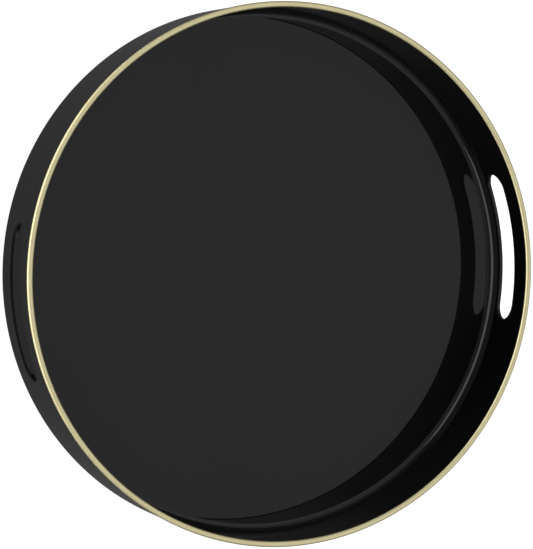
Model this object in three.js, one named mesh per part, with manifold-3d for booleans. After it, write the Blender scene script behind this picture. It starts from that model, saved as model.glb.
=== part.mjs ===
// A round serving tray, built the way a lacquered hoop tray is built: a bent wall hoop with two
// hand slots, a serving board let into a groove in the hoop, a metal capping let into the hoop's top
// edge, a cove bead sealing the inside corner, and four screwed-on rubber feet.
// Millimetres, +Z up. The origin is on the table, on the tray's axis; the hand slots face +X and -X.
import * as THREE from "three";
import { mergeVertices } from "three/addons/utils/BufferGeometryUtils.js";
import Module from "manifold-3d";

const wasm = await Module();
wasm.setup();

// ---- Driving dimensions ----

// Overall
const trayDiameter = 330; // over the capping
const trayHeight = 56.5; // table to the crest of the capping
const footStandoff = 1.5; // the feet hold the hoop's lower edge this far off the table
const fitGap = 0.3; // glue line or clearance between pieces that meet

// Wall hoop
const wallThickness = 2.8;
const lowerEdgeChamfer = 0.5;

// Serving board
const boardThickness = 4.7;
const boardLetIn = 0.8; // how far the board's edge reaches into the hoop's groove

// Capping, centred on the wall
const cappingWidth = 3.6;
const cappingSide = 0.5; // upright part of the capping's visible sides
const cappingRise = 0.9; // crown of the capping above those sides
const tongueWidth = 0.8;
const tongueDepth = 2.5;

// Cove bead in the inside corner
const coveRadius = 4;
const coveLip = 0.25; // blunt edge where the bead runs out on the wall and on the floor

// Hand slots
const slotLength = 93; // end to end, measured straight across
const slotHeight = 19.2;
const slotDrop = 17.5; // crest of the capping down to the slot's upper edge

// Feet
const footCount = 4;
const footHeight = 5.6;
const footTopDiameter = 18;
const footBottomDiameter = 15;
const footEdgeRadius = 1.2;
const footSetback = 14; // clear distance from the hoop's inner face to the foot
const footWeb = 2; // rubber left between the board and the washer

// Foot fasteners
const screwShankDiameter = 3;
const screwHeadDiameter = 5.5;
const screwHeadHeight = 1.6;
const screwHeadEdgeRadius = 0.9;
const screwTipCover = 1.4; // board left above the tip of the screw
const screwPointLength = 1;
const driveWidth = 0.7;
const driveSpan = 3;
const driveDepth = 0.9;
const washerDiameter = 7.2;
const washerThickness = 0.8;

// Smoothness of the round pieces
const ringSides = 96;
const footSides = 32;
const screwSides = 16;
const slotEndSteps = 12;
const arcSteps = 6;
const cutOverrun = 1; // how far a cutter runs past the face it opens

// ---- Places worked out from them ----

const cappingRadius = trayDiameter / 2;
const wallMiddle = cappingRadius - cappingWidth / 2;
const outerRadius = wallMiddle + wallThickness / 2;
const innerRadius = wallMiddle - wallThickness / 2;
const hoopBottom = footStandoff;
const cappingBottom = trayHeight - cappingSide - cappingRise;
const hoopTop = cappingBottom - fitGap;
const tongueBottom = cappingBottom - tongueDepth;
const boardBottom = footHeight + fitGap;
const floorLevel = boardBottom + boardThickness;
const boardRadius = innerRadius + boardLetIn;
const footRingRadius = innerRadius - footSetback - footTopDiameter / 2;
const washerTop = footHeight - footWeb - fitGap;
const screwHeadTop = washerTop - washerThickness - fitGap;
const screwHeadBottom = screwHeadTop - screwHeadHeight;
const screwTip = floorLevel - screwTipCover;
const screwHoleRadius = screwShankDiameter / 2 + fitGap;

// ---- Materials ----

const blackLacquer = new THREE.MeshStandardMaterial({ color: 0x0b0b0c, roughness: 0.08, metalness: 0 });
const satinGold = new THREE.MeshStandardMaterial({ color: 0xd8c07c, roughness: 0.35, metalness: 1 });
const blackRubber = new THREE.MeshStandardMaterial({ color: 0x1b1b1b, roughness: 0.85, metalness: 0 });
const zincSteel = new THREE.MeshStandardMaterial({ color: 0xb9bcc0, roughness: 0.35, metalness: 1 });

// ---- Shape tools ----

// Turns an outline of [radius, height] points, given anticlockwise, about the Z axis. An outline that
// starts and ends on the axis is turned as it is; any other is closed into a ring.
function revolve(outline, sides) {
  const startsOnAxis = outline[0][0] === 0;
  const loop = startsOnAxis ? outline : [...outline, outline[0]];
  const points = loop.map(([radius, height]) => new THREE.Vector2(radius, height));
  return new THREE.LatheGeometry(points, sides).rotateX(Math.PI / 2);
}

// Points of an arc about a centre, both ends included; angles in turns of PI.
function arc(centre, radius, from, to) {
  return Array.from({ length: arcSteps + 1 }, (_, step) => {
    const angle = Math.PI * (from + ((to - from) * step) / arcSteps);
    return [centre[0] + radius * Math.cos(angle), centre[1] + radius * Math.sin(angle)];
  });
}

// The closed solid of a geometry, for cutting.
function solidOf(geometry) {
  const bare = geometry.clone();
  bare.deleteAttribute("normal");
  bare.deleteAttribute("uv");
  const merged = mergeVertices(bare);
  return new wasm.Manifold(
    new wasm.Mesh({
      numProp: 3,
      vertProperties: merged.attributes.position.array,
      triVerts: new Uint32Array(merged.index.array),
    }),
  );
}

// The geometry of a body with the cutters taken out of it.
function cut(body, cutters) {
  let solid = solidOf(body);
  for (const cutter of cutters) solid = solid.subtract(solidOf(cutter));
  const made = solid.getMesh();
  const geometry = new THREE.BufferGeometry();
  geometry.setAttribute("position", new THREE.BufferAttribute(made.vertProperties, 3));
  geometry.setIndex(new THREE.BufferAttribute(made.triVerts, 1));
  const faceted = geometry.toNonIndexed();
  faceted.computeVertexNormals();
  return faceted;
}

function piece(name, geometry, material) {
  const mesh = new THREE.Mesh(geometry, material);
  mesh.name = name;
  return mesh;
}

// ---- Wall hoop ----

// A round-ended bar along X, as long as the tray is wide, which cuts both hand slots in one pass.
function handSlotCutter() {
  const radius = slotHeight / 2;
  const reach = slotLength / 2 - radius;
  const outline = new THREE.Shape();
  outline.absarc(reach, 0, radius, -Math.PI / 2, Math.PI / 2, false);
  outline.absarc(-reach, 0, radius, Math.PI / 2, (3 * Math.PI) / 2, false);
  const depth = 2 * (outerRadius + cutOverrun);
  const options = { depth, bevelEnabled: false, curveSegments: slotEndSteps };
  const bar = new THREE.ExtrudeGeometry(outline, options).translate(0, 0, -depth / 2);
  bar.rotateX(Math.PI / 2).rotateZ(Math.PI / 2);
  return bar.translate(0, 0, trayHeight - slotDrop - radius);
}

function wallHoop() {
  const tongueSlotHalf = tongueWidth / 2 + fitGap;
  const tongueSlotBottom = tongueBottom - fitGap;
  const boardSlotRadius = boardRadius + fitGap;
  const outline = [
    [outerRadius - lowerEdgeChamfer, hoopBottom],
    [outerRadius, hoopBottom + lowerEdgeChamfer],
    [outerRadius, hoopTop],
    [wallMiddle + tongueSlotHalf, hoopTop],
    [wallMiddle + tongueSlotHalf, tongueSlotBottom],
    [wallMiddle - tongueSlotHalf, tongueSlotBottom],
    [wallMiddle - tongueSlotHalf, hoopTop],
    [innerRadius, hoopTop],
    [innerRadius, floorLevel + fitGap],
    [boardSlotRadius, floorLevel + fitGap],
    [boardSlotRadius, boardBottom - fitGap],
    [innerRadius, boardBottom - fitGap],
    [innerRadius, hoopBottom + lowerEdgeChamfer],
    [innerRadius + lowerEdgeChamfer, hoopBottom],
  ];
  return piece("wall_hoop", cut(revolve(outline, ringSides), [handSlotCutter()]), blackLacquer);
}

// ---- Serving board ----

// Where each foot is centred: between the hand slots and the tray's other two sides.
function footPlaces() {
  return Array.from({ length: footCount }, (_, index) => {
    const angle = (2 * Math.PI * (index + 0.5)) / footCount;
    return [footRingRadius * Math.cos(angle), footRingRadius * Math.sin(angle)];
  });
}

function servingBoard() {
  const disc = (radius, bottom, top) => [[0, bottom], [radius, bottom], [radius, top], [0, top]];
  const board = revolve(disc(boardRadius, boardBottom, floorLevel), ringSides);
  const hole = disc(screwHoleRadius, boardBottom - cutOverrun, screwTip + fitGap);
  const holes = footPlaces().map(([x, y]) => revolve(hole, screwSides).translate(x, y, 0));
  return piece("serving_board", cut(board, holes), blackLacquer);
}

// ---- Capping and cove bead ----

function rimCapping() {
  const half = cappingWidth / 2;
  const shoulder = cappingBottom + cappingSide;
  const crownRadius = (half * half + cappingRise * cappingRise) / (2 * cappingRise);
  const lean = Math.asin(half / crownRadius) / Math.PI;
  const crown = arc([wallMiddle, trayHeight - crownRadius], crownRadius, 0.5 - lean, 0.5 + lean);
  const outline = [
    [wallMiddle + tongueWidth / 2, cappingBottom],
    [wallMiddle + half, cappingBottom],
    [wallMiddle + half, shoulder],
    ...crown.slice(1, -1),
    [wallMiddle - half, shoulder],
    [wallMiddle - half, cappingBottom],
    [wallMiddle - tongueWidth / 2, cappingBottom],
    [wallMiddle - tongueWidth / 2, tongueBottom],
    [wallMiddle + tongueWidth / 2, tongueBottom],
  ];
  return piece("rim_capping", revolve(outline, ringSides), satinGold);
}

function cornerCove() {
  const back = innerRadius - fitGap;
  const base = floorLevel + fitGap;
  const outline = [
    [back - coveLip - coveRadius, base],
    [back, base],
    [back, base + coveLip + coveRadius],
    ...arc([back - coveLip - coveRadius, base + coveLip + coveRadius], coveRadius, 0, -0.5),
  ];
  return piece("corner_cove", revolve(outline, ringSides), blackLacquer);
}

// ---- Feet and their fasteners ----

function foot(number) {
  const recess = washerDiameter / 2 + fitGap;
  const bottom = footBottomDiameter / 2;
  const outline = [
    [recess, 0],
    ...arc([bottom - footEdgeRadius, footEdgeRadius], footEdgeRadius, -0.5, 0),
    [footTopDiameter / 2, footHeight],
    [screwHoleRadius, footHeight],
    [screwHoleRadius, footHeight - footWeb],
    [recess, footHeight - footWeb],
  ];
  return piece(`foot_${number}`, revolve(outline, footSides), blackRubber);
}

function footWasher(number) {
  const washerBottom = washerTop - washerThickness;
  const outline = [
    [screwHoleRadius, washerBottom],
    [washerDiameter / 2, washerBottom],
    [washerDiameter / 2, washerTop],
    [screwHoleRadius, washerTop],
  ];
  return piece(`foot_washer_${number}`, revolve(outline, footSides), zincSteel);
}

function footScrew(number) {
  const head = screwHeadDiameter / 2;
  const shank = screwShankDiameter / 2;
  const edge = screwHeadEdgeRadius;
  const outline = [
    [0, screwHeadBottom],
    ...arc([head - edge, screwHeadBottom + edge], edge, -0.5, 0),
    [head, screwHeadTop],
    [shank, screwHeadTop],
    [shank, screwTip - screwPointLength],
    [0, screwTip],
  ];
  const driveCentre = screwHeadBottom + (driveDepth - cutOverrun) / 2;
  const blade = () => new THREE.BoxGeometry(driveSpan, driveWidth, driveDepth + cutOverrun);
  const angles = [0, Math.PI / 2];
  const drives = angles.map((angle) => blade().rotateZ(angle).translate(0, 0, driveCentre));
  return piece(`foot_screw_${number}`, cut(revolve(outline, screwSides), drives), zincSteel);
}

// ---- The tray ----

const tray = new THREE.Group();
tray.name = "serving_tray";
tray.add(wallHoop(), servingBoard(), rimCapping(), cornerCove());
footPlaces().forEach(([x, y], index) => {
  const place = new THREE.Group();
  place.position.set(x, y, 0);
  place.add(foot(index + 1), footWasher(index + 1), footScrew(index + 1));
  tray.add(place);
});

export default tray;
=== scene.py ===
"""Round lacquered serving tray: fine meshes, finishes and a studio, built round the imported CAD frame."""

import math

import bmesh
import bpy
from bpy.props import FloatProperty, FloatVectorProperty, IntProperty, PointerProperty
from mathutils import Matrix, Vector


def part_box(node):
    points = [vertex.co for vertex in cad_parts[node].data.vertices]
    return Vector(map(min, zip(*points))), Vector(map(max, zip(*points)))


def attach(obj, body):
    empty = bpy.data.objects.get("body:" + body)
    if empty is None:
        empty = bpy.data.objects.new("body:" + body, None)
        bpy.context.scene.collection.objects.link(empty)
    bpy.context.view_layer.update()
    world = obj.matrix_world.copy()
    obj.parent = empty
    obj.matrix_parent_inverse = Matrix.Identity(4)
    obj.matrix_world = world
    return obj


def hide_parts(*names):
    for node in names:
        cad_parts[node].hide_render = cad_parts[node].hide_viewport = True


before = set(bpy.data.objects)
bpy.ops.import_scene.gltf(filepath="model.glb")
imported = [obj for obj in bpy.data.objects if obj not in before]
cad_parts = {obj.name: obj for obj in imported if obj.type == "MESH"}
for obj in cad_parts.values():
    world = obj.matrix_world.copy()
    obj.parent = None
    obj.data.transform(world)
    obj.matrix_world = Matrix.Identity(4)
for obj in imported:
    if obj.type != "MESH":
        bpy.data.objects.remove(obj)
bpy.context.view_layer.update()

bl_info = {
    "name": "Round Serving Tray",
    "version": (1, 0, 0),
    "blender": (4, 5, 0),
    "location": "View3D > Sidebar > Serving Tray",
    "description": "Makes a gloss black hoop tray with a gold capping, hand slots and rubber feet",
    "category": "Add Mesh",
}

MM = 0.001
BODY = "root"
FOOT_NUMBERS = (1, 2, 3, 4)
HALF_TURN = math.pi
QUARTER_TURN = math.pi / 2
WHITE = (1.0, 1.0, 1.0, 1.0)
NEAR_LIGHT = "near_softbox"
SMALL_EDGE = 0.12 * MM  # easing of thin metal edges
CUT_OVERRUN = 1.0 * MM  # how far a cutter runs past the face it opens
UNDERSIDE_IOR = 1.5


# ---------------------------------------------------------------- sizes read from the frame


def radius_of(point):
    """Distance of a point from the tray's axis."""
    return math.hypot(point[0], point[1])


def points_of(node):
    """The points of a CAD node."""
    return [vertex.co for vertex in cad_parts[node].data.vertices]


def points_on_rim(node, low, high):
    """The points of a CAD node on its own outermost face, between two heights."""
    facet_depth = 0.15 * MM
    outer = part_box(node)[1].x - facet_depth
    return [p for p in points_of(node) if radius_of(p) > outer and low < p.z < high]


def read_sizes():
    """The driving sizes of the tray, in metres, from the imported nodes."""
    wall_low, wall_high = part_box("wall_hoop")
    rim_low, rim_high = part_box("rim_capping")
    board_low, board_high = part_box("serving_board")
    cove_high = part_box("corner_cove")[1]
    foot_low, foot_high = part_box("foot_1")
    screw_low, screw_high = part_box("foot_screw_1")
    washer_low, washer_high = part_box("foot_washer_1")
    clear_of_edges = 2 * MM
    slot = points_on_rim("wall_hoop", wall_low.z + clear_of_edges, wall_high.z - clear_of_edges)
    capping = points_on_rim("rim_capping", rim_low.z, rim_high.z)
    foot_middle = (foot_low + foot_high) / 2
    return {
        "outer_radius": wall_high.x,
        "wall_bottom": wall_low.z,
        "cove_back": cove_high.x,
        "capping_outer": rim_high.x,
        "capping_inner": min(radius_of(p) for p in points_of("rim_capping")),
        "capping_bottom": min(p.z for p in capping),
        "capping_top": rim_high.z,
        "tongue_bottom": rim_low.z,
        "board_radius": board_high.x,
        "board_bottom": board_low.z,
        "floor": board_high.z,
        "slot_low": min(p.z for p in slot),
        "slot_high": max(p.z for p in slot),
        "slot_reach": max(p.y for p in slot),
        "foot_ring": radius_of(foot_middle),
        "foot_angle": math.atan2(foot_middle.y, foot_middle.x),
        "foot_top_radius": (foot_high.x - foot_low.x) / 2,
        "foot_height": foot_high.z,
        "washer_radius": (washer_high.x - washer_low.x) / 2,
        "washer_bottom": washer_low.z,
        "washer_top": washer_high.z,
        "screw_head_radius": (screw_high.x - screw_low.x) / 2,
        "screw_bottom": screw_low.z,
        "screw_tip": screw_high.z,
    }


SIZE = read_sizes()


# ---------------------------------------------------------------- settings


def length(name, description, default_mm):
    """A length property, given in millimetres and held in metres."""
    return FloatProperty(
        name=name,
        description=description,
        default=default_mm * MM,
        min=0.0,
        subtype="DISTANCE",
        unit="LENGTH",
        precision=5,
    )


def count(name, description, default, least=1):
    """A whole number of columns or steps."""
    return IntProperty(name=name, description=description, default=default, min=least)


def angle(name, description, degrees):
    """An angle, given in degrees and held in radians."""
    return FloatProperty(
        name=name, description=description, default=math.radians(degrees), subtype="ANGLE"
    )


def colour(name, description, default):
    """A linear colour property."""
    return FloatVectorProperty(
        name=name, description=description, default=default, subtype="COLOR", min=0.0, max=1.0
    )


def factor(name, description, default, top=1.0):
    """A plain number property from nought to top."""
    return FloatProperty(name=name, description=description, default=default, min=0.0, max=top)


class TrayWallSettings(bpy.types.PropertyGroup):
    """Sizes of the wall hoop that the frame leaves open."""

    fit_gap: length("Fit gap", "Clearance that the frame keeps between pieces that meet", 0.3)
    hairline: length("Hairline", "Joint left between two lacquered pieces", 0.02)
    slot_outer_edge: length("Slot outer edge", "Rounding of the hand slots outside the tray", 1.3)
    slot_inner_edge: length("Slot inner edge", "Rounding of the hand slots inside the tray", 0.3)
    slot_holding: length("Slot holding loop", "Flat left in a slot beside each rounding", 0.15)
    top_edge: length("Top edge radius", "Easing of the wall's top edges under the capping", 0.12)
    bottom_edge: length("Bottom edge radius", "Easing of the wall's lower edges", 0.5)
    holding: length("Holding loop", "Distance of the flat loops beside a rounding", 0.35)
    patch_margin: length("Slot margin", "Height of the fan of faces over and under a slot", 4.9)
    columns: count("Wall columns", "Columns round half the wall", 200, 24)
    slot_columns: count("Slot columns", "Columns along a slot's straight", 24)
    fan_steps: count("Fan steps", "Steps of a quarter turn at a slot's end", 16)
    fan_columns: count("Fan columns", "Those of the steps that meet its top", 9)
    edge_steps: count("Edge steps", "Steps of each small rounding", 5)


class TrayRingSettings(bpy.types.PropertyGroup):
    """Sizes of the capping, the cove bead and the board that the frame leaves open."""

    tongue_width: length("Tongue width", "Width of the capping's tongue", 0.8)
    cove_radius: length("Cove radius", "Hollow of the bead in the inside corner", 4.2)
    cove_lip: length("Cove lip", "Blunt edge where the bead runs out", 0.04)
    board_edge: length("Board edge radius", "Easing of the board's edges inside the groove", 0.4)
    ring_columns: count("Ring columns", "Columns round each ring", 360, 24)
    crown_steps: count("Crown steps", "Steps over the capping's crown", 28)
    cove_steps: count("Cove steps", "Steps across the cove bead", 24)


class TrayFootSettings(bpy.types.PropertyGroup):
    """Sizes of the feet and their fasteners that the frame leaves open."""

    bottom_radius: length("Foot bottom radius", "Radius of the foot where it stands", 7.5)
    edge_radius: length("Foot edge radius", "Rounding of the foot's lower edge", 1.2)
    recess_edge: length("Recess edge radius", "Rounding of the mouth of the screw recess", 0.35)
    recess_steps: count("Recess steps", "Steps of the rounding at the recess", 4)
    lower_steps: count("Lower steps", "Steps of the rounding at the foot's lower edge", 6)
    flange: length("Flange height", "Height of the foot's upright upper edge", 0.6)
    flange_flare: length("Flange flare", "How far the foot flares out just under that edge", 0.3)
    flange_edge: length("Flange edge", "Easing of the foot's top edge", 0.2)
    web: length("Foot web", "Rubber between the washer and the board", 2.0)
    shank_radius: length("Shank radius", "Radius of the screw's shank", 1.5)
    thread_depth: length("Thread depth", "Depth of the thread below the shank's surface", 0.32)
    thread_pitch: length("Thread pitch", "Rise of the thread in one turn", 1.05)
    thread_sides: count("Thread sides", "Sides of the threaded shank", 24, 8)
    thread_rows: count("Thread rows", "Rows of the shank in one turn of the thread", 6, 4)
    point: length("Screw point", "Length over which the screw tapers to its point", 1.2)
    point_blunt: factor("Point bluntness", "Share of the shank's radius left at the tip", 0.08)
    head_height: length("Head height", "Height of the screw's pan head", 1.6)
    head_overlap: length("Head overlap", "How far the shank reaches into the head", 0.2)
    drive_span: length("Drive span", "Width of the cross recess from tip to tip", 3.0)
    drive_width: length("Drive width", "Width of each blade of the cross recess", 0.7)
    drive_depth: length("Drive depth", "Depth of the cross recess", 0.9)
    drive_taper: factor("Drive taper", "Size of the recess at its end against its mouth", 0.62)
    sides: count("Sides", "Sides of the round small pieces", 64, 12)


class TrayFinishSettings(bpy.types.PropertyGroup):
    """Colours and gloss of the tray."""

    lacquer: colour("Lacquer", "Colour of the gloss black lacquer", (0.0100, 0.0100, 0.0104))
    lacquer_roughness: factor("Lacquer roughness", "Lowest roughness of the lacquer", 0.015)
    lacquer_ior: factor("Lacquer IOR", "How strongly the lacquer mirrors", 1.43, 3.0)
    underside: colour("Underside", "Colour of the satin underside", (0.006, 0.006, 0.0065))
    gold: colour("Gold", "Colour of the satin capping", (1.0, 0.895, 0.54))
    gold_roughness: factor("Gold roughness", "Roughness of the satin capping", 0.46)
    rubber: colour("Rubber", "Colour of the feet", (0.016, 0.016, 0.017))
    steel: colour("Steel", "Colour of the zinc-plated washers and screws", (0.60, 0.61, 0.63))


class TrayStudioSettings(bpy.types.PropertyGroup):
    """The light table, the soft lights and the camera."""

    table_colour: colour("Table colour", "Colour of the pale table top", (0.86, 0.86, 0.86))
    table_glow: factor("Table glow", "Light that comes up through the table", 0.92, 5.0)
    nadir: factor("Low light", "Brightness of the surroundings below the table's level", 0.095, 5.0)
    horizon: factor("Horizon light", "Brightness of the surroundings level with the tray", 0.07, 5.0)
    zenith: factor("Zenith light", "Brightness of the surroundings straight overhead", 0.12, 5.0)
    far_light: factor("Far light", "Brightness of the high soft light on the far side", 0.49, 5.0)
    side_light: factor("Side light", "Brightness of the soft lights left and right", 0.34, 5.0)
    near_light: factor("Near light", "Brightness of the low soft light on the camera's side", 1.85, 5.0)
    far_height: angle("Far light height", "Elevation of the middle of the far light", 48)
    far_core: angle("Far light core", "Angle from its middle where the far light starts to fade", 32)
    far_reach: angle("Far light reach", "Angle from its middle where the far light ends", 46)
    side_height: angle("Side light height", "Elevation of the middle of each side light", 42)
    side_core: angle("Side light core", "Angle where a side light starts to fade", 15)
    side_reach: angle("Side light reach", "Angle where a side light ends", 45)
    near_height: angle("Near light height", "Elevation of the middle of the near light", 27)
    near_distance: length("Near light distance", "From the tray to the near light", 1600)
    near_width: length("Near light width", "Width of the near light's face", 3200)
    near_depth: length("Near light depth", "Height of the near light's face", 1400)
    table_reach: length("Table reach", "From the tray to the table's edge", 6000)
    backdrop_reach: length("Backdrop reach", "From the tray to the backdrop", 5900)
    backdrop_height: length("Backdrop height", "Height of the backdrop", 8000)
    camera_azimuth: angle("Camera azimuth", "Direction of the camera from +X, anticlockwise", 166.6)
    camera_elevation: angle("Camera elevation", "Height of the camera above the table's level", 67.49)
    camera_roll: angle("Camera roll", "Turn of the camera about its own axis", 97.72)
    camera_distance: length("Camera distance", "Distance from the camera to its aim", 1350.3)
    camera_aim: FloatVectorProperty(
        name="Camera aim", description="Point that the camera looks at", unit="LENGTH",
        subtype="TRANSLATION", default=(-0.00533, -0.00004, 0.0298), precision=5,
    )
    lens: factor("Lens", "Focal length in millimetres, on the sensor below", 144.26, 1000.0)
    sensor: factor("Sensor", "Width of the camera's sensor in millimetres", 36.0, 100.0)


SETTINGS = {
    "tray_wall": TrayWallSettings,
    "tray_rings": TrayRingSettings,
    "tray_feet": TrayFootSettings,
    "tray_finish": TrayFinishSettings,
    "tray_studio": TrayStudioSettings,
}


# ---------------------------------------------------------------- mesh tools


def arc(centre, radius, start, end, steps):
    """Points of an arc of (radius, height) about a centre, both ends included."""
    angles = [start + (end - start) * step / steps for step in range(steps + 1)]
    return [(centre[0] + radius * math.cos(a), centre[1] + radius * math.sin(a)) for a in angles]


def new_piece(name, points, faces, edges=()):
    """A mesh object at the origin from its points and faces."""
    mesh = bpy.data.meshes.new(name)
    mesh.from_pydata([tuple(p) for p in points], list(edges), list(faces))
    mesh.validate()
    piece = bpy.data.objects.new(name, mesh)
    bpy.context.scene.collection.objects.link(piece)
    return piece


def smooth(piece, sharp_angle=math.radians(35)):
    """Smooth shading with the real corners kept sharp."""
    mesh = piece.data
    mesh.polygons.foreach_set("use_smooth", [True] * len(mesh.polygons))
    mesh.set_sharp_from_angle(angle=sharp_angle)
    mesh.update()


def tidy(piece, merge=1e-7):
    """Merges the doubles of a mesh and turns its faces outwards."""
    work = bmesh.new()
    work.from_mesh(piece.data)
    bmesh.ops.remove_doubles(work, verts=work.verts, dist=merge)
    bmesh.ops.recalc_face_normals(work, faces=work.faces)
    if work.calc_volume(signed=True) < 0:
        bmesh.ops.reverse_faces(work, faces=work.faces)
    work.to_mesh(piece.data)
    work.free()
    smooth(piece)


def apply_modifiers(piece):
    """Turns a piece and its modifiers into a plain mesh."""
    evaluated = piece.evaluated_get(bpy.context.evaluated_depsgraph_get())
    made = bpy.data.meshes.new_from_object(evaluated)
    piece.modifiers.clear()
    old = piece.data
    piece.data = made
    made.name = piece.name
    bpy.data.meshes.remove(old)


def revolve(name, outline, sides, centre=(0.0, 0.0)):
    """Turns an outline of (radius, height) about the upright line through centre.
    An outline that starts and ends on the axis is closed there; any other is closed on itself."""
    on_axis = outline[0][0] == 0 and outline[-1][0] == 0
    inner = outline[1:-1] if on_axis else outline
    points, faces = [], []
    for side in range(sides):
        angle = 2 * HALF_TURN * side / sides
        for radius, height in inner:
            points.append(
                (centre[0] + radius * math.cos(angle), centre[1] + radius * math.sin(angle), height)
            )
    count = len(inner)
    spans = count - 1 if on_axis else count
    for side in range(sides):
        here, there = side * count, ((side + 1) % sides) * count
        for row in range(spans):
            after = (row + 1) % count
            faces.append((here + row, there + row, there + after, here + after))
    if on_axis:
        for height, row in ((outline[0][1], 0), (outline[-1][1], count - 1)):
            pole = len(points)
            points.append((centre[0], centre[1], height))
            for side in range(sides):
                faces.append((pole, side * count + row, ((side + 1) % sides) * count + row))
    piece = new_piece(name, points, faces)
    tidy(piece)
    return piece


def cut_away(piece, cutters):
    """Cuts other pieces out of a piece and removes them."""
    for cutter in cutters:
        knife = piece.modifiers.new("cut", "BOOLEAN")
        knife.operation = "DIFFERENCE"
        knife.solver = "EXACT"
        knife.object = cutter
    apply_modifiers(piece)
    for cutter in cutters:
        mesh = cutter.data
        bpy.data.objects.remove(cutter)
        bpy.data.meshes.remove(mesh)
    tidy(piece)


# ---------------------------------------------------------------- Geometry Nodes


def new_tree(name, inputs):
    """A Geometry Nodes tree with a geometry input, the named inputs and a geometry output."""
    tree = bpy.data.node_groups.new(name, "GeometryNodeTree")
    tree.interface.new_socket("Geometry", in_out="INPUT", socket_type="NodeSocketGeometry")
    for label, kind in inputs:
        tree.interface.new_socket(label, in_out="INPUT", socket_type=kind)
    tree.interface.new_socket("Geometry", in_out="OUTPUT", socket_type="NodeSocketGeometry")
    return tree


def finish_tree(tree, start, result):
    """Ends a tree in Realize Instances and Set Material."""
    realize = tree.nodes.new("GeometryNodeRealizeInstances")
    material = tree.nodes.new("GeometryNodeSetMaterial")
    end = tree.nodes.new("NodeGroupOutput")
    tree.links.new(result, realize.inputs["Geometry"])
    tree.links.new(realize.outputs["Geometry"], material.inputs["Geometry"])
    tree.links.new(start.outputs["Material"], material.inputs["Material"])
    tree.links.new(material.outputs["Geometry"], end.inputs["Geometry"])
    return tree


def ring_tree():
    """Carries a drawn section round a circle: the rule behind the capping and the cove bead."""
    tree = new_tree(
        "section_round_a_ring",
        [
            ("Ring Radius", "NodeSocketFloat"),
            ("Columns", "NodeSocketInt"),
            ("Material", "NodeSocketMaterial"),
        ],
    )
    start = tree.nodes.new("NodeGroupInput")
    section = tree.nodes.new("GeometryNodeMeshToCurve")
    circle = tree.nodes.new("GeometryNodeCurvePrimitiveCircle")
    sweep = tree.nodes.new("GeometryNodeCurveToMesh")
    tree.links.new(start.outputs["Geometry"], section.inputs["Mesh"])
    tree.links.new(start.outputs["Ring Radius"], circle.inputs["Radius"])
    tree.links.new(start.outputs["Columns"], circle.inputs["Resolution"])
    tree.links.new(circle.outputs["Curve"], sweep.inputs["Curve"])
    tree.links.new(section.outputs["Curve"], sweep.inputs["Profile Curve"])
    return finish_tree(tree, start, sweep.outputs["Mesh"])


def repeat_tree():
    """Repeats a small piece at even steps round the tray's axis."""
    tree = new_tree(
        "repeat_round_the_tray",
        [
            ("Count", "NodeSocketInt"),
            ("Ring Radius", "NodeSocketFloat"),
            ("First Angle", "NodeSocketFloat"),
            ("Material", "NodeSocketMaterial"),
        ],
    )
    start = tree.nodes.new("NodeGroupInput")
    circle = tree.nodes.new("GeometryNodeMeshCircle")
    turn = tree.nodes.new("ShaderNodeCombineXYZ")
    place = tree.nodes.new("GeometryNodeTransform")
    copies = tree.nodes.new("GeometryNodeInstanceOnPoints")
    tree.links.new(start.outputs["Count"], circle.inputs["Vertices"])
    tree.links.new(start.outputs["Ring Radius"], circle.inputs["Radius"])
    tree.links.new(start.outputs["First Angle"], turn.inputs["Z"])
    tree.links.new(circle.outputs["Mesh"], place.inputs["Geometry"])
    tree.links.new(turn.outputs["Vector"], place.inputs["Rotation"])
    tree.links.new(place.outputs["Geometry"], copies.inputs["Points"])
    tree.links.new(start.outputs["Geometry"], copies.inputs["Instance"])
    return finish_tree(tree, start, copies.outputs["Instances"])


def run_tree(piece, tree, values):
    """Runs a tree on a piece with the named input values and keeps the plain mesh."""
    modifier = piece.modifiers.new(tree.name, "NODES")
    modifier.node_group = tree
    for item in tree.interface.items_tree:
        if item.in_out == "INPUT" and item.name in values:
            modifier[item.identifier] = values[item.name]
    apply_modifiers(piece)


def sweep_ring(name, outline, ring_radius, columns, material):
    """A ring piece from its outline of (radius, height), made by the ring tree."""
    section = [(radius - ring_radius, -height, 0.0) for radius, height in outline]
    edges = [(i, (i + 1) % len(section)) for i in range(len(section))]
    piece = new_piece(name, section, [], edges)
    run_tree(piece, ring_tree(), {"Ring Radius": ring_radius, "Columns": columns, "Material": material})
    tidy(piece)
    return piece


# ---------------------------------------------------------------- finishes


def scaled(tone, share):
    """A colour made lighter or darker."""
    return tuple(min(1.0, channel * share) for channel in tone)


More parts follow.
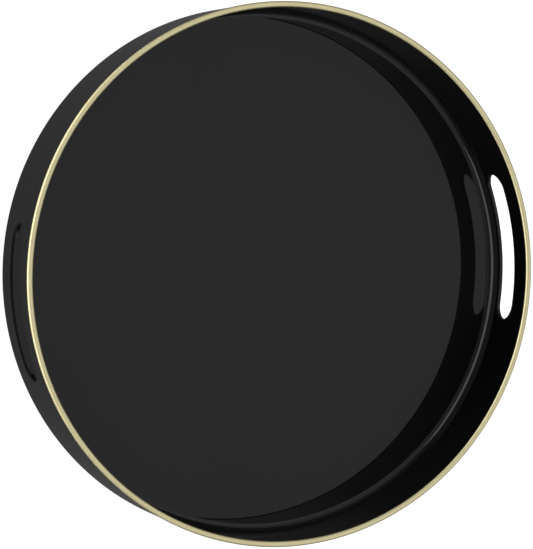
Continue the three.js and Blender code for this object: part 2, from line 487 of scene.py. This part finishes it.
class Finish:
    """A node material on Object coordinates, built up step by step."""

    def __init__(self, name):
        self.material = bpy.data.materials.new(name)
        self.material.use_nodes = True
        self.nodes = self.material.node_tree.nodes
        self.links = self.material.node_tree.links
        self.shader = self.nodes["Principled BSDF"]
        self.place = self.nodes.new("ShaderNodeTexCoord").outputs["Object"]

    def put(self, socket, value):
        """Sets one of the shader's own sockets."""
        self.shader.inputs[socket].default_value = value

    def noise(self, scale, detail=3.0):
        """Noise of about scale cells a metre."""
        noise = self.nodes.new("ShaderNodeTexNoise")
        noise.inputs["Scale"].default_value = scale
        noise.inputs["Detail"].default_value = detail
        self.links.new(self.place, noise.inputs["Vector"])
        return noise.outputs["Fac"]

    def spread(self, source, low, high, start=0.3, end=0.7):
        """A number that runs from low to high as the source runs from start to end."""
        spread = self.nodes.new("ShaderNodeMapRange")
        spread.inputs["From Min"].default_value = start
        spread.inputs["From Max"].default_value = end
        spread.inputs["To Min"].default_value = low
        spread.inputs["To Max"].default_value = high
        self.links.new(source, spread.inputs["Value"])
        return spread.outputs["Result"]

    def roughness(self, source):
        """Drives the roughness."""
        self.links.new(source, self.shader.inputs["Roughness"])

    def tint(self, source, dark, light):
        """Drives the base colour between two colours."""
        mix = self.nodes.new("ShaderNodeMix")
        mix.data_type = "RGBA"
        mix.inputs["A"].default_value = (*dark, 1.0)
        mix.inputs["B"].default_value = (*light, 1.0)
        self.links.new(source, mix.inputs["Factor"])
        self.links.new(mix.outputs["Result"], self.shader.inputs["Base Color"])

    def cloud(self, tone, scale, darker, lighter, detail=3.0):
        """Clouds the base colour softly between a darker and a lighter share of a tone."""
        source = self.spread(self.noise(scale, detail), low=0.0, high=1.0)
        self.tint(source, scaled(tone, darker), scaled(tone, lighter))

    def glow(self, strength):
        """Makes the surface give white light."""
        self.put("Emission Color", WHITE)
        self.put("Emission Strength", strength)

    def bump(self, source, strength, depth):
        """Drives the surface relief; depth is the height of the full range, in metres."""
        bump = self.nodes.new("ShaderNodeBump")
        bump.inputs["Strength"].default_value = strength
        bump.inputs["Distance"].default_value = depth
        self.links.new(source, bump.inputs["Height"])
        self.links.new(bump.outputs["Normal"], self.shader.inputs["Normal"])


def gloss_lacquer(finish):
    """Polished black lacquer: a near mirror with a trace of flow-out and handling haze."""
    made = Finish("gloss_black_lacquer")
    made.cloud(finish.lacquer, scale=9.0, darker=0.85, lighter=1.2)
    haze = made.noise(scale=38.0, detail=5.0)
    low = finish.lacquer_roughness
    made.roughness(made.spread(haze, low=low, high=low + 0.02))
    made.bump(made.noise(scale=120.0, detail=1.0), strength=0.04, depth=0.02 * MM)
    made.put("IOR", finish.lacquer_ior)
    return made.material


def satin_underside(finish):
    """The sprayed satin black of the underside, with a fine spray grain."""
    made = Finish("satin_black_underside")
    made.cloud(finish.underside, scale=25.0, darker=0.8, lighter=1.3)
    made.roughness(made.spread(made.noise(scale=60.0, detail=4.0), low=0.3, high=0.42))
    made.bump(made.noise(scale=1800.0, detail=2.0), strength=0.25, depth=0.05 * MM)
    made.put("IOR", UNDERSIDE_IOR)
    return made.material


def satin_gold(finish):
    """The satin gold of the capping, with a fine grain and slight clouding."""
    made = Finish("satin_gold_capping")
    made.cloud(finish.gold, scale=45.0, darker=0.95, lighter=1.04)
    middle = finish.gold_roughness
    grain = made.noise(scale=160.0, detail=4.0)
    made.roughness(made.spread(grain, low=middle - 0.04, high=middle + 0.05))
    made.bump(made.noise(scale=2600.0, detail=2.0), strength=0.12, depth=0.03 * MM)
    made.put("Metallic", 1.0)
    return made.material


def foot_rubber(finish):
    """Matt moulded rubber with a fine grain and a little bloom."""
    made = Finish("foot_rubber")
    made.cloud(finish.rubber, scale=300.0, darker=0.8, lighter=1.7, detail=4.0)
    made.roughness(made.spread(made.noise(scale=500.0, detail=3.0), low=0.62, high=0.82))
    made.bump(made.noise(scale=4200.0, detail=2.0), strength=0.35, depth=0.04 * MM)
    return made.material


def zinc_steel(finish):
    """Bright zinc-plated steel with slight clouding."""
    made = Finish("zinc_plated_steel")
    made.cloud(finish.steel, scale=700.0, darker=0.85, lighter=1.1)
    made.roughness(made.spread(made.noise(scale=1500.0, detail=4.0), low=0.22, high=0.42))
    made.bump(made.noise(scale=5000.0, detail=2.0), strength=0.1, depth=0.01 * MM)
    made.put("Metallic", 1.0)
    return made.material


def finish_piece(piece, slot, *nodes, material=None):
    """Gives the piece its material, when one is given, rides it on the tray and hides the nodes that it
    stands for. The slot is not used.
    """
    if material is not None:
        piece.data.materials.clear()
        piece.data.materials.append(material)
    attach(piece, BODY)
    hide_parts(*nodes)


def shared(maker):
    """The material that a maker gives, made once."""
    if maker.__name__ not in shared.made:
        shared.made[maker.__name__] = maker(bpy.context.scene.tray_finish)
    return shared.made[maker.__name__]


shared.made = {}


# ---------------------------------------------------------------- wall hoop


class WallGrid:
    """The wall hoop as a grid of upright columns and section rows, with a fan of faces at each slot.

    A section point is (radius, height). A column turns a radius into a place: near a slot it keeps
    its y, so the slot is cut straight through, and elsewhere it keeps its angle."""

    FAN_SHARES = (0.3, 0.6, 0.85)  # where loops lie between a slot patch's rim and its rounding

    def __init__(self, wall):
        self.wall = wall
        self.points = []
        self.faces = []
        self.inner = SIZE["cove_back"] + wall.fit_gap
        self.outer = SIZE["outer_radius"]
        self.slot_radius = (SIZE["slot_high"] - SIZE["slot_low"]) / 2
        self.slot_middle = (SIZE["slot_high"] + SIZE["slot_low"]) / 2
        self.straight = SIZE["slot_reach"] - self.slot_radius
        self.patch_height = self.slot_radius + wall.patch_margin
        fan = QUARTER_TURN / wall.fan_steps
        self.patch_reach = self.straight + self.patch_height * math.tan(fan * wall.fan_columns)
        beyond = [
            self.straight + self.patch_height * math.tan(fan * step)
            for step in range(1, wall.fan_columns + 1)
        ]
        along = [
            -self.straight + 2 * self.straight * step / wall.slot_columns
            for step in range(wall.slot_columns + 1)
        ]
        self.slot_ys = [-y for y in reversed(beyond)] + along + beyond
        side_steps = wall.fan_steps - wall.fan_columns
        side = self.patch_reach - self.straight
        rises = [side * math.tan(fan * step) for step in range(1, side_steps)] + [self.patch_height]
        self.slot_zs = [self.slot_middle - rise for rise in reversed(rises)]
        self.slot_zs += [self.slot_middle] + [self.slot_middle + rise for rise in rises]

    def columns(self):
        """(sign, y) for a column that keeps its y, or (None, angle) for one that keeps its angle."""
        reach = math.asin(self.patch_reach / self.inner)
        gap = HALF_TURN - 2 * reach
        steps = round(self.wall.columns * gap / HALF_TURN)
        between = [reach + gap * step / steps for step in range(1, steps)]
        right = [(1, y) for y in self.slot_ys]
        left = [(-1, y) for y in reversed(self.slot_ys)]
        far = [(None, angle) for angle in between]
        near = [(None, angle + HALF_TURN) for angle in between]
        return right + far + left + near

    def section(self):
        """The wall's closed outline and the first row of each face's slot patch."""
        wall = self.wall
        bottom, top = SIZE["wall_bottom"], SIZE["capping_bottom"] - wall.hairline
        soft, eased, hold = wall.bottom_edge, wall.top_edge, wall.holding
        steps = wall.edge_steps
        middle = (self.inner + self.outer) / 2
        groove = bpy.context.scene.tray_rings.tongue_width / 2 + wall.fit_gap
        groove_bottom = SIZE["tongue_bottom"] - wall.fit_gap
        let_in = SIZE["board_radius"] + wall.fit_gap
        let_top = SIZE["floor"] + wall.hairline
        let_bottom = SIZE["board_bottom"] - wall.fit_gap
        rows = [(self.outer - soft - hold, bottom)]
        rows += arc((self.outer - soft, bottom + soft), soft, -QUARTER_TURN, 0, steps)
        rows += [(self.outer, bottom + soft + hold), (self.outer, (bottom + self.slot_zs[0]) / 2)]
        outer_patch = len(rows)
        rows += [(self.outer, z) for z in self.slot_zs]
        rows += [(self.outer, top - eased - hold)]
        rows += arc((self.outer - eased, top - eased), eased, 0, QUARTER_TURN, steps)
        rows += [(middle + groove, top), (middle + groove, groove_bottom)]
        rows += [(middle - groove, groove_bottom), (middle - groove, top)]
        rows += arc((self.inner + eased, top - eased), eased, QUARTER_TURN, HALF_TURN, steps)
        rows += [(self.inner, top - eased - hold)]
        inner_patch = len(rows)
        rows += [(self.inner, z) for z in reversed(self.slot_zs)]
        rows += [(self.inner, let_top), (let_in, let_top), (let_in, let_bottom)]
        rows += [(self.inner, let_bottom), (self.inner, bottom + soft + hold)]
        rows += arc((self.inner + soft, bottom + soft), soft, HALF_TURN, HALF_TURN + QUARTER_TURN, steps)
        rows += [(self.inner + soft + hold, bottom)]
        return rows, outer_patch, inner_patch

    def add(self, point):
        """Adds a point and gives its number."""
        self.points.append(point)
        return len(self.points) - 1

    def bridge(self, loop, after):
        """Faces between two closed loops with the same number of points."""
        count = len(loop)
        for i in range(count):
            j = (i + 1) % count
            self.faces.append((loop[i], loop[j], after[j], after[i]))

    def slot_loop(self, sign, rim, offset, radius, depth):
        """A loop round the slot, offset from its outline, at a depth from the face of that radius."""
        loop = []
        for y, z in rim:
            centre_y = max(-self.straight, min(self.straight, y))
            out = Vector((y - centre_y, z - self.slot_middle)).normalized()
            place_y = centre_y + (self.slot_radius + offset) * out.x
            place_z = self.slot_middle + (self.slot_radius + offset) * out.y
            x = math.sqrt(radius * radius - place_y * place_y) + depth
            loop.append((sign * x, place_y, place_z))
        return loop

    def slot_side(self, sign, rim, radius, inwards, edge, grid_loop):
        """The fan of faces and the rounded edge on one face of the wall. Gives the last loop."""
        wall = self.wall
        settled = self.slot_loop(sign, rim, edge + wall.holding, radius, 0.0)
        before = grid_loop
        for share in self.FAN_SHARES:
            between = []
            for (y, z), (_, end_y, end_z) in zip(rim, settled):
                place_y, place_z = y + (end_y - y) * share, z + (end_z - z) * share
                x = math.sqrt(radius * radius - place_y * place_y)
                between.append(self.add((sign * x, place_y, place_z)))
            self.bridge(before, between)
            before = between
        loops = [settled]
        for step in range(wall.edge_steps + 1):
            angle = QUARTER_TURN * step / wall.edge_steps
            drop = edge * (1 - math.cos(angle)) * inwards
            loops.append(self.slot_loop(sign, rim, edge * (1 - math.sin(angle)), radius, drop))
        loops.append(self.slot_loop(sign, rim, 0.0, radius, (edge + wall.slot_holding) * inwards))
        for loop in loops:
            numbers = [self.add(point) for point in loop]
            self.bridge(before, numbers)
            before = numbers
        return before

    def build(self):
        """Fills the points and the faces."""
        rows, outer_patch, inner_patch = self.section()
        columns = self.columns()
        grid = []
        for sign, value in columns:
            column = []
            for radius, height in rows:
                if sign is None:
                    place = (radius * math.cos(value), radius * math.sin(value), height)
                else:
                    place = (sign * math.sqrt(radius * radius - value * value), value, height)
                column.append(self.add(place))
            grid.append(column)
        spans = len(self.slot_zs) - 1
        patch_rows = {outer_patch + i for i in range(spans)} | {inner_patch + i for i in range(spans)}
        for i, (sign, _) in enumerate(columns):
            j = (i + 1) % len(columns)
            in_patch = sign is not None and columns[j][0] == sign
            for row in range(len(rows)):
                if in_patch and row in patch_rows:
                    continue
                after = (row + 1) % len(rows)
                self.faces.append((grid[i][row], grid[j][row], grid[j][after], grid[i][after]))
        width = len(self.slot_ys)
        second = columns.index((-1, self.slot_ys[-1]))
        for sign, first in ((1, 0), (-1, second)):
            numbers = list(range(width)) if sign == 1 else list(reversed(range(width)))
            ends = []
            for patch, upwards, radius, inwards, edge in (
                (outer_patch, True, self.outer, -1, self.wall.slot_outer_edge),
                (inner_patch, False, self.inner, 1, self.wall.slot_inner_edge),
            ):
                row_of = {n: patch + (n if upwards else spans - n) for n in range(spans + 1)}
                path = [(n, 0) for n in range(width - 1)]
                path += [(width - 1, n) for n in range(spans)]
                path += [(n, spans) for n in range(width - 1, 0, -1)]
                path += [(0, n) for n in range(spans, 0, -1)]
                rim = [(self.slot_ys[n], self.slot_zs[m]) for n, m in path]
                loop = [grid[first + numbers[n]][row_of[m]] for n, m in path]
                ends.append(self.slot_side(sign, rim, radius, inwards, edge, loop))
            self.bridge(*ends)


def make_wall_hoop():
    """The bent wall with its two rounded hand slots and its two grooves."""
    grid = WallGrid(bpy.context.scene.tray_wall)
    grid.build()
    piece = new_piece("lacquered_wall_hoop", grid.points, grid.faces)
    tidy(piece)
    return piece


# ---------------------------------------------------------------- board, capping and cove bead


def foot_centres():
    """Where the feet and their screws are."""
    step = 2 * HALF_TURN / len(FOOT_NUMBERS)
    angles = [SIZE["foot_angle"] + step * index for index in range(len(FOOT_NUMBERS))]
    return [(SIZE["foot_ring"] * math.cos(a), SIZE["foot_ring"] * math.sin(a)) for a in angles]


def make_serving_board():
    """The flat board, with eased edges and blind pilot holes for the foot screws."""
    scene = bpy.context.scene
    rings, feet, wall = scene.tray_rings, scene.tray_feet, scene.tray_wall
    low, high, radius, edge = SIZE["board_bottom"], SIZE["floor"], SIZE["board_radius"], rings.board_edge
    steps = wall.edge_steps
    flat_loops = [0.25, 0.5, 0.75, 0.9]
    outline = [(0.0, low)] + [(radius * share, low) for share in flat_loops]
    outline += [(radius - edge - wall.holding, low)]
    outline += arc((radius - edge, low + edge), edge, -QUARTER_TURN, 0, steps)
    outline += arc((radius - edge, high - edge), edge, 0, QUARTER_TURN, steps)
    outline += [(radius - edge - wall.holding, high)]
    outline += [(radius * share, high) for share in reversed(flat_loops)] + [(0.0, high)]
    piece = revolve("lacquered_serving_board", outline, rings.ring_columns)
    hole_radius, hole_top = feet.shank_radius + wall.fit_gap, SIZE["screw_tip"] + wall.fit_gap
    mouth = low - CUT_OVERRUN
    hole = [(0.0, mouth), (hole_radius, mouth), (hole_radius, hole_top), (0.0, hole_top)]
    cut_away(piece, [revolve("pilot_hole", hole, feet.sides, centre) for centre in foot_centres()])
    return piece


def underside_faces(piece, material):
    """Gives the faces that look down the second material."""
    piece.data.materials.append(material)
    for polygon in piece.data.polygons:
        if polygon.normal.z < -math.cos(math.radians(60)):
            polygon.material_index = 1


def make_rim_capping(material):
    """The gold capping: a low elliptical crown over the wall, with a tongue in the wall's groove."""
    rings = bpy.context.scene.tray_rings
    inner, outer = SIZE["capping_inner"], SIZE["capping_outer"]
    bottom, top = SIZE["capping_bottom"], SIZE["capping_top"]
    middle, half, rise = (inner + outer) / 2, (outer - inner) / 2, top - bottom
    tongue, soft = rings.tongue_width / 2, SMALL_EDGE
    crown = []
    for step in range(rings.crown_steps + 1):
        angle = HALF_TURN * step / rings.crown_steps
        crown.append((middle + half * math.cos(angle), bottom + soft + (rise - soft) * math.sin(angle)))
    outline = [(middle + tongue, bottom), (outer - soft, bottom)]
    outline += crown
    outline += [(inner + soft, bottom), (middle - tongue, bottom)]
    outline += [(middle - tongue, SIZE["tongue_bottom"]), (middle + tongue, SIZE["tongue_bottom"])]
    return sweep_ring("satin_gold_rim_capping", outline, middle, rings.ring_columns, material)


def make_corner_cove(material):
    """The hollow bead that seals the inside corner."""
    scene = bpy.context.scene
    rings, wall = scene.tray_rings, scene.tray_wall
    back = SIZE["cove_back"] + wall.fit_gap - wall.hairline
    base = SIZE["floor"] + wall.hairline
    hollow, lip = rings.cove_radius, rings.cove_lip
    centre = (back - lip - hollow, base + lip + hollow)
    outline = [(centre[0], base), (back, base), (back, centre[1])]
    outline += arc(centre, hollow, 0, -QUARTER_TURN, rings.cove_steps)
    return sweep_ring("lacquered_corner_cove", outline, back, rings.ring_columns, material)


# ---------------------------------------------------------------- feet and fasteners


def repeat_round(piece, material):
    """Repeats a piece made on the axis at each foot."""
    values = {
        "Count": len(FOOT_NUMBERS),
        "Ring Radius": SIZE["foot_ring"],
        "First Angle": SIZE["foot_angle"],
        "Material": material,
    }
    run_tree(piece, repeat_tree(), values)
    smooth(piece)


def make_feet():
    """One moulded foot, with a rounded lower edge and a recess for the screw."""
    scene = bpy.context.scene
    feet, gap = scene.tray_feet, scene.tray_wall.fit_gap
    recess, hole = SIZE["washer_radius"] + gap, feet.shank_radius + gap
    height, edge, mouth = SIZE["foot_height"], feet.edge_radius, feet.recess_edge
    bottom, top = feet.bottom_radius, SIZE["foot_top_radius"]
    web = height - feet.web
    flange, flare, eased = height - feet.flange, feet.flange_flare, feet.flange_edge
    three_quarters = HALF_TURN + QUARTER_TURN
    outline = arc((recess + mouth, mouth), mouth, HALF_TURN, three_quarters, feet.recess_steps)
    outline += [(recess + mouth + flare, 0.0), (bottom - edge - flare, 0.0)]
    outline += arc((bottom - edge, edge), edge, -QUARTER_TURN, 0, feet.lower_steps)
    outline += [(top - flare, flange - flare), (top, flange), (top, height - eased)]
    outline += [(top - eased, height), (hole, height), (hole, web), (recess, web)]
    return revolve("rubber_feet", outline, scene.tray_feet.sides)


def make_washers():
    """One plain washer with stamped, slightly rounded edges."""
    feet, gap = bpy.context.scene.tray_feet, bpy.context.scene.tray_wall.fit_gap
    hole, rim = feet.shank_radius + gap, SIZE["washer_radius"]
    low, high, soft = SIZE["washer_bottom"], SIZE["washer_top"], SMALL_EDGE
    outline = [(hole + soft, low), (rim - soft, low), (rim, low + soft), (rim, high - soft)]
    outline += [(rim - soft, high), (hole + soft, high), (hole, high - soft), (hole, low + soft)]
    return revolve("foot_washers", outline, feet.sides)


def screw_shank(feet, low, tip):
    """The threaded shank: a helix of ridge and root that fades out at the point."""
    sides = feet.thread_sides
    rows = int((tip - low) / feet.thread_pitch * feet.thread_rows)
    points, faces = [], []
    for row in range(rows + 1):
        height = low + (tip - low) * row / rows
        point_share = min(1.0, (tip - height) / feet.point + feet.point_blunt)
        for side in range(sides):
            angle = 2 * HALF_TURN * side / sides
            turn = (height - low) / feet.thread_pitch - side / sides
            ridge = abs((turn % 1.0) - 0.5) * 2
            radius = (feet.shank_radius - feet.thread_depth * (1 - ridge**2)) * point_share
            points.append((radius * math.cos(angle), radius * math.sin(angle), height))
    for row in range(rows):
        for side in range(sides):
            after = (side + 1) % sides
            here, above = row * sides, (row + 1) * sides
            faces.append((here + side, here + after, above + after, above + side))
    faces.append(tuple(range(sides)))
    faces.append(tuple(rows * sides + side for side in range(sides)))
    return points, faces


def drive_blade(feet, low, turn):
    """A cutter for one blade of the cross recess, narrower at its upper end."""
    blade = bmesh.new()
    bmesh.ops.create_cube(blade, size=1.0)
    size = Matrix.Diagonal((feet.drive_span, feet.drive_width, 2 * feet.drive_depth, 1.0))
    place = Matrix.Translation((0.0, 0.0, low)) @ Matrix.Rotation(turn, 4, "Z") @ size
    bmesh.ops.transform(blade, matrix=place, verts=blade.verts)
    for vertex in blade.verts:
        if vertex.co.z > low:
            vertex.co.x *= feet.drive_taper
            vertex.co.y *= feet.drive_taper
    mesh = bpy.data.meshes.new("blade")
    blade.to_mesh(mesh)
    blade.free()
    cutter = bpy.data.objects.new("blade", mesh)
    bpy.context.scene.collection.objects.link(cutter)
    return cutter


def make_screws():
    """One pan-head screw with a cross recess and a thread."""
    feet = bpy.context.scene.tray_feet
    low, radius, height = SIZE["screw_bottom"], SIZE["screw_head_radius"], feet.head_height
    pan = ((0.3, 0.01), (0.55, 0.05), (0.75, 0.14), (0.88, 0.27), (0.96, 0.44))
    side = ((1.0, 0.62), (1.0, 0.95), (0.97, 1.0))
    outline = [(0.0, low)]
    outline += [(radius * share, low + height * drop) for share, drop in (*pan, *side)]
    outline += [(0.0, low + height)]
    head = revolve("foot_screws", outline, feet.sides)
    cut_away(head, [drive_blade(feet, low, turn) for turn in (0.0, QUARTER_TURN)])
    points, faces = screw_shank(feet, low + height - feet.head_overlap, SIZE["screw_tip"])
    shank = new_piece("shank", points, faces)
    tidy(shank)
    join = head.modifiers.new("join", "BOOLEAN")
    join.operation, join.solver, join.object = "UNION", "EXACT", shank
    apply_modifiers(head)
    bpy.data.objects.remove(shank)
    tidy(head)
    return head


# ---------------------------------------------------------------- stage


def make_table():
    """The pale light table that the tray stands on. It isn't part of the tray."""
    studio = bpy.context.scene.tray_studio
    reach = studio.table_reach
    corners = [(-reach, -reach, 0.0), (reach, -reach, 0.0), (reach, reach, 0.0), (-reach, reach, 0.0)]
    table = new_piece("light_table", corners, [(0, 1, 2, 3)])
    surface = Finish("pale_table_top")
    surface.cloud(studio.table_colour, scale=4.0, darker=0.99, lighter=1.01)
    surface.put("Roughness", 0.9)
    surface.glow(studio.table_glow)
    table.data.materials.append(surface.material)
    table.visible_glossy = False


def make_backdrop():
    """A plain white wall round the table, behind everything. It gives the tray no light."""
    studio = bpy.context.scene.tray_studio
    inner, top = studio.backdrop_reach, studio.backdrop_height
    outer, bottom = inner + 10 * MM, -1000 * MM
    outline = [(inner, bottom), (outer, bottom), (outer, top), (inner, top)]
    wall = revolve("white_backdrop", outline, bpy.context.scene.tray_feet.sides)
    surface = Finish("pale_backdrop")
    surface.cloud(WHITE[:3], scale=1.0, darker=0.96, lighter=1.0)
    surface.glow(1.0)
    wall.data.materials.append(surface.material)
    wall.visible_glossy = False
    wall.visible_diffuse = False
    wall.visible_transmission = False
    wall.visible_shadow = False


def direction_to(azimuth, elevation):
    """The unit vector towards a direction."""
    level = math.cos(elevation)
    return Vector((level * math.cos(azimuth), level * math.sin(azimuth), math.sin(elevation)))


class Dome:
    """The surroundings: soft patches of light added up by the direction they lie in."""

    def __init__(self):
        self.world = bpy.data.worlds.new("studio_dome")
        self.world.use_nodes = True
        self.nodes = self.world.node_tree.nodes
        self.links = self.world.node_tree.links
        self.direction = self.nodes.new("ShaderNodeTexCoord").outputs["Generated"]
        self.total = None

    def add(self, source, start, end, low, high):
        """Adds light that runs smoothly from low to high as the source runs from start to end."""
        rise = self.nodes.new("ShaderNodeMapRange")
        rise.interpolation_type = "SMOOTHSTEP"
        rise.inputs["From Min"].default_value = start
        rise.inputs["From Max"].default_value = end
        rise.inputs["To Min"].default_value = low
        rise.inputs["To Max"].default_value = high
        self.links.new(source, rise.inputs["Value"])
        if self.total is None:
            self.total = rise.outputs["Result"]
            return
        both = self.nodes.new("ShaderNodeMath")
        both.operation = "ADD"
        self.links.new(self.total, both.inputs[0])
        self.links.new(rise.outputs["Result"], both.inputs[1])
        self.total = both.outputs["Value"]

    def band(self, start, end, low, high):
        """Light that changes with height between two heights of the unit dome."""
        split = self.nodes.new("ShaderNodeSeparateXYZ")
        self.links.new(self.direction, split.inputs["Vector"])
        self.add(split.outputs["Z"], start, end, low, high)

    def patch(self, azimuth, elevation, core, reach, brightness):
        """A soft round light; core and reach are the angles where it starts and stops to fade."""
        turn = self.nodes.new("ShaderNodeVectorMath")
        turn.operation = "DOT_PRODUCT"
        turn.inputs[1].default_value = direction_to(azimuth, elevation)
        self.links.new(self.direction, turn.inputs[0])
        self.add(turn.outputs["Value"], math.cos(reach), math.cos(core), 0.0, brightness)

    def finish(self):
        """Hands the sum to the background."""
        background = self.nodes["Background"]
        background.inputs["Color"].default_value = WHITE
        self.links.new(self.total, background.inputs["Strength"])
        bpy.context.scene.world = self.world


def make_dome():
    """A broad soft light on the far side, a dimmer one on each side and dim surroundings."""
    studio = bpy.context.scene.tray_studio
    dome = Dome()
    dome.band(start=-0.35, end=0.0, low=studio.nadir, high=studio.horizon)
    dome.band(start=0.1, end=0.8, low=0.0, high=studio.zenith - studio.horizon)
    far = studio.camera_azimuth - HALF_TURN
    dome.patch(far, studio.far_height, studio.far_core, studio.far_reach, studio.far_light)
    side_shape = (studio.side_height, studio.side_core, studio.side_reach)
    for side in (-QUARTER_TURN, QUARTER_TURN):
        dome.patch(far + side, *side_shape, studio.side_light)
    dome.finish()


def make_near_light():
    """A low soft light on the camera's side, kept to the pieces that are linked to it."""
    studio = bpy.context.scene.tray_studio
    away = direction_to(studio.camera_azimuth, studio.near_height)
    lamp = bpy.data.lights.new(NEAR_LIGHT, "AREA")
    lamp.shape = "RECTANGLE"
    lamp.size, lamp.size_y = studio.near_width, studio.near_depth
    lamp.energy = studio.near_light * HALF_TURN * studio.near_width * studio.near_depth
    light = bpy.data.objects.new(NEAR_LIGHT, lamp)
    bpy.context.scene.collection.objects.link(light)
    light.location = away * studio.near_distance
    light.rotation_euler = away.to_track_quat("Z", "Y").to_euler()
    light.light_linking.receiver_collection = bpy.data.collections.new(NEAR_LIGHT)


def light_from_near(piece):
    """Lets the near light reach a piece."""
    bpy.data.collections[NEAR_LIGHT].objects.link(piece)


def make_camera():
    """The camera, by its direction, its roll and the point it looks at."""
    studio = bpy.context.scene.tray_studio
    azimuth, elevation = studio.camera_azimuth, studio.camera_elevation
    back = direction_to(azimuth, elevation)
    lens = bpy.data.cameras.new("camera")
    lens.lens, lens.sensor_width = studio.lens, studio.sensor
    camera = bpy.data.objects.new("camera", lens)
    bpy.context.scene.collection.objects.link(camera)
    level = (-back).to_track_quat("-Z", "Y").to_matrix()
    turned = level @ Matrix.Rotation(studio.camera_roll, 3, "Z")
    place = Vector(studio.camera_aim) + back * studio.camera_distance
    camera.matrix_world = Matrix.Translation(place) @ turned.to_4x4()
    bpy.context.scene.camera = camera


# ---------------------------------------------------------------- operators


class TRAY_OT_make_stage(bpy.types.Operator):
    """Make the light table, the dome, the soft lights and the camera"""

    bl_idname = "tray.make_stage"
    bl_label = "Make Stage"

    def execute(self, context):
        make_camera()
        make_table()
        make_backdrop()
        make_dome()
        make_near_light()
        context.scene.view_settings.view_transform = "Standard"
        context.scene.view_settings.look = "None"
        return {"FINISHED"}


class TRAY_OT_make_wall_hoop(bpy.types.Operator):
    """Make the lacquered wall hoop with its hand slots"""

    bl_idname = "tray.make_wall_hoop"
    bl_label = "Make Wall Hoop"

    def execute(self, context):
        piece = make_wall_hoop()
        finish_piece(piece, "black_lacquer", "wall_hoop", material=shared(gloss_lacquer))
        return {"FINISHED"}


class TRAY_OT_make_serving_board(bpy.types.Operator):
    """Make the lacquered serving board"""

    bl_idname = "tray.make_serving_board"
    bl_label = "Make Serving Board"

    def execute(self, context):
        piece = make_serving_board()
        finish_piece(piece, "black_lacquer", "serving_board", material=shared(gloss_lacquer))
        underside_faces(piece, shared(satin_underside))
        return {"FINISHED"}


class TRAY_OT_make_rim_capping(bpy.types.Operator):
    """Make the satin gold capping"""

    bl_idname = "tray.make_rim_capping"
    bl_label = "Make Rim Capping"

    def execute(self, context):
        piece = make_rim_capping(shared(satin_gold))
        finish_piece(piece, "satin_gold", "rim_capping")
        light_from_near(piece)
        return {"FINISHED"}


class TRAY_OT_make_corner_cove(bpy.types.Operator):
    """Make the cove bead in the inside corner"""

    bl_idname = "tray.make_corner_cove"
    bl_label = "Make Corner Cove"

    def execute(self, context):
        piece = make_corner_cove(shared(gloss_lacquer))
        finish_piece(piece, "cove_lacquer", "corner_cove")
        light_from_near(piece)
        return {"FINISHED"}


class TRAY_OT_make_feet(bpy.types.Operator):
    """Make the rubber feet, their washers and their screws"""

    bl_idname = "tray.make_feet"
    bl_label = "Make Feet"

    def execute(self, context):
        kinds = (
            (make_feet, foot_rubber, "foot_rubber", "foot"),
            (make_washers, zinc_steel, "zinc_steel", "foot_washer"),
            (make_screws, zinc_steel, "zinc_steel", "foot_screw"),
        )
        for make, maker, slot, node in kinds:
            piece = make()
            repeat_round(piece, shared(maker))
            finish_piece(piece, slot, *[f"{node}_{number}" for number in FOOT_NUMBERS])
        return {"FINISHED"}


OPERATORS = (
    TRAY_OT_make_stage,
    TRAY_OT_make_wall_hoop,
    TRAY_OT_make_serving_board,
    TRAY_OT_make_rim_capping,
    TRAY_OT_make_corner_cove,
    TRAY_OT_make_feet,
)


class VIEW3D_PT_serving_tray(bpy.types.Panel):
    """The tray's pieces and sizes in the sidebar."""

    bl_label = "Serving Tray"
    bl_space_type = "VIEW_3D"
    bl_region_type = "UI"
    bl_category = "Serving Tray"

    def draw(self, context):
        for operator in OPERATORS:
            self.layout.operator(operator.bl_idname)
        for name in SETTINGS:
            group = getattr(context.scene, name)
            box = self.layout.box()
            box.label(text=name.replace("_", " ").capitalize())
            for key in group.__annotations__:
                box.prop(group, key)


CLASSES = (*SETTINGS.values(), *OPERATORS, VIEW3D_PT_serving_tray)


def register():
    """Registers the classes and hangs the settings on the scene."""
    for item in CLASSES:
        bpy.utils.register_class(item)
    for name, group in SETTINGS.items():
        setattr(bpy.types.Scene, name, PointerProperty(type=group))


def unregister():
    """Takes the settings and the classes away again."""
    for name in SETTINGS:
        delattr(bpy.types.Scene, name)
    for item in reversed(CLASSES):
        bpy.utils.unregister_class(item)


def main():
    """Makes the stage and every piece."""
    register()
    bpy.ops.tray.make_stage()
    bpy.ops.tray.make_wall_hoop()
    bpy.ops.tray.make_serving_board()
    bpy.ops.tray.make_rim_capping()
    bpy.ops.tray.make_corner_cove()
    bpy.ops.tray.make_feet()


if __name__ == "__main__":
    main()
